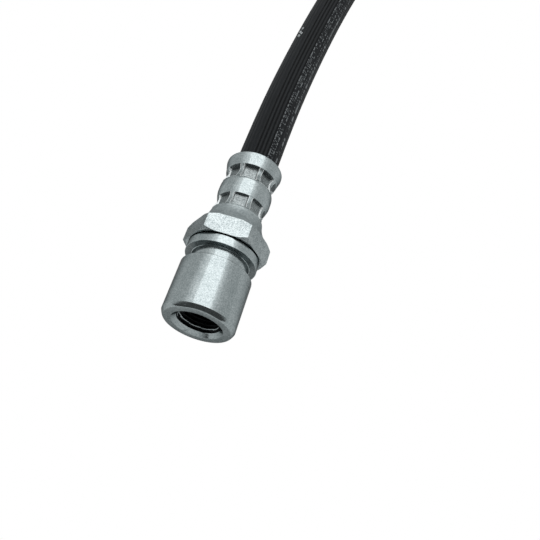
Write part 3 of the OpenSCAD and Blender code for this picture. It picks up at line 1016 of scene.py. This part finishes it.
def swept_tube(name, line, inner, outer, segments, relief=None):
    """A tube with two walls along the line. inner and outer are lists of radii, one for each point."""
    points = []
    count = len(line)
    for wall, radii in enumerate((outer, inner)):
        for i, p in enumerate(line):
            side, up = swept_frame(line, i)
            for k in range(segments):
                angle = 360 * k / segments
                r = radii[i] + (relief(angle, i) if relief and not wall else 0)
                a = math.radians(angle)
                points.append((p + r * (math.sin(a) * side + math.cos(a) * up)) * MM)
    faces = []
    for i in range(count - 1):
        for k in range(segments):
            m = (k + 1) % segments
            o = i * segments
            n = (count + i) * segments
            faces.append((o + k, o + m, o + segments + m, o + segments + k))
            faces.append((n + k, n + segments + k, n + segments + m, n + m))
    for k in range(segments):
        m = (k + 1) % segments
        n = count * segments
        o = (count - 1) * segments
        faces.append((k, n + k, n + m, m))
        faces.append((o + k, o + m, o + n + m, o + n + k))
    return mesh_object(name, points, faces)


def groove_share(angle):
    """How near an angle is to the middle of a groove in the ribbed cover: 1 in it and 0 on a rib."""
    return (0.5 + 0.5 * math.cos(math.radians((angle - FIRST_GROOVE) * RIBS))) ** 2


def cover_relief(angle):
    """The cover's surface round the hose, at an angle from the top towards +X."""
    return RIB_RISE - (WORN_GROOVE if between(angle, WORN_LANE) else USUAL_GROOVE) * groove_share(angle)


def paint_grooves(cover, materials):
    """Painted shade in the deepest grooves, and a painted highlight on the ribs of the upper side."""
    groove = len(cover.data.materials)
    rib = groove + 1
    cover.data.materials.append(materials["groove_shade_rubber"])
    cover.data.materials.append(materials["rib_highlight_rubber"])
    for n, face in enumerate(cover.data.polygons):
        angle = 360 * (n // 2 % COVER_SIDES + 0.5) / COVER_SIDES
        share = groove_share(angle)
        if share > 0.6 and between(angle, WORN_LANE):
            face.material_index = groove
        elif share < 0.05 and between(angle, HIGHLIGHT_RIBS):
            face.material_index = rib


def make_hose(materials):
    """The ribbed cover, the layers inside it and the marks on it, with the line that they follow."""
    line = centreline()
    grip = squeeze(line)
    radii = [[f + (g - f) * amount for amount in grip] for f, g in zip(FREE_RADII, GRIPPED_RADII)]
    kept = ring_stops(grip)
    cover = swept_tube("ribbed_cover", [line[i] for i in kept], [radii[4][i] for i in kept],
                       [radii[5][i] for i in kept], COVER_SIDES,
                       lambda angle, n: cover_relief(angle) * (1 - grip[kept[n]]))
    finish_piece(cover, materials["cover_rubber"], "cover_rubber", ROOT, "hose_cover", sharp_angle=60)
    paint_grooves(cover, materials)
    layers = []
    for k, (name, node, slot) in enumerate((
        ("liner_tube", "hose_liner", "liner_rubber"),
        ("inner_braid_sleeve", "hose_inner_braid", "braid_yarn"),
        ("cushion_tube", "hose_cushion", "liner_rubber"),
        ("outer_braid_sleeve", "hose_outer_braid", "braid_yarn"),
    )):
        layer = swept_tube(name, line, radii[k], radii[k + 1], LAYER_SIDES)
        layers.append(finish_piece(layer, materials[slot], slot, ROOT, node))
    return cover, layers + [make_marks(line, materials)], line


def make_marks(line, materials):
    """Plain raised ticks and dashes along the cover's marking lane, with no lettering."""
    random.seed(7)
    lengths = [0.0]
    for a, b in zip(line, line[1:]):
        lengths.append(lengths[-1] + (b - a).length)

    def at(distance):
        i = max(1, next((i for i, s in enumerate(lengths) if s >= distance), len(line) - 1))
        t = (distance - lengths[i - 1]) / (lengths[i] - lengths[i - 1])
        side, up = swept_frame(line, i)
        return line[i - 1].lerp(line[i], t), side, up

    points, faces = [], []

    def bar(start, end, low, high, proud):
        """A small raised bar from one distance to another and one angle to another."""
        base = len(points)
        for s, inset in ((start, 0), (start + MARK_SLOPE, 1), (end - MARK_SLOPE, 1), (end, 0)):
            p, side, up = at(s)
            for angle, rise in ((low, 0), (low + MARK_BEVEL, 1), (high - MARK_BEVEL, 1), (high, 0)):
                r = FREE_RADII[5] - MARK_ROOT + (proud + MARK_ROOT) * inset * rise
                a = math.radians(angle)
                points.append((p + r * (math.sin(a) * side + math.cos(a) * up)) * MM)
        for i in range(3):
            for j in range(3):
                n = base + 4 * i + j
                faces.append((n, n + 1, n + 5, n + 4))

    for low, high, chance, strokes in MARK_ROWS:
        s = FIRST_MARK
        while s < lengths[-1] - LAST_MARK:
            if random.random() < chance:
                bar(s, s + random.choice(strokes), low, high, MARK_RISE)
            s += random.uniform(*MARK_GAPS)
    ticks = len(faces)
    for start, low in SCUFF:
        bar(start, start + FLECK_LENGTH, low, low + FLECK_ANGLE, FLECK_RISE)
    piece = mesh_object("cover_ticks", points, faces)
    piece.data.materials.append(materials["mark_rubber"])
    piece.data.materials.append(materials["worn_rubber"])
    for face in piece.data.polygons[ticks:]:
        face.material_index = 1
    return finish_piece(piece, materials["mark_rubber"], "cover_rubber", ROOT, sharp_angle=60)


# ---------------------------------------------------------------- scene


def main():
    make_camera()
    make_studio()
    materials = make_materials()
    cover, on_hose, line = make_hose(materials)
    make_bracket_end(materials)
    socket = make_banjo_socket(materials)
    eye = make_banjo_eye(materials)
    make_washer("washer_under_head", "head_washer", -WASHER_START - WASHER_THICKNESS, materials)
    make_washer("washer_at_caliper", "caliper_washer", WASHER_START, materials)
    make_bolt(materials)
    for node in ("bracket_end_nipple", "banjo_end_nipple"):
        bpy.data.objects[node].material_slots[0].material = materials["nipple_steel"]


main()
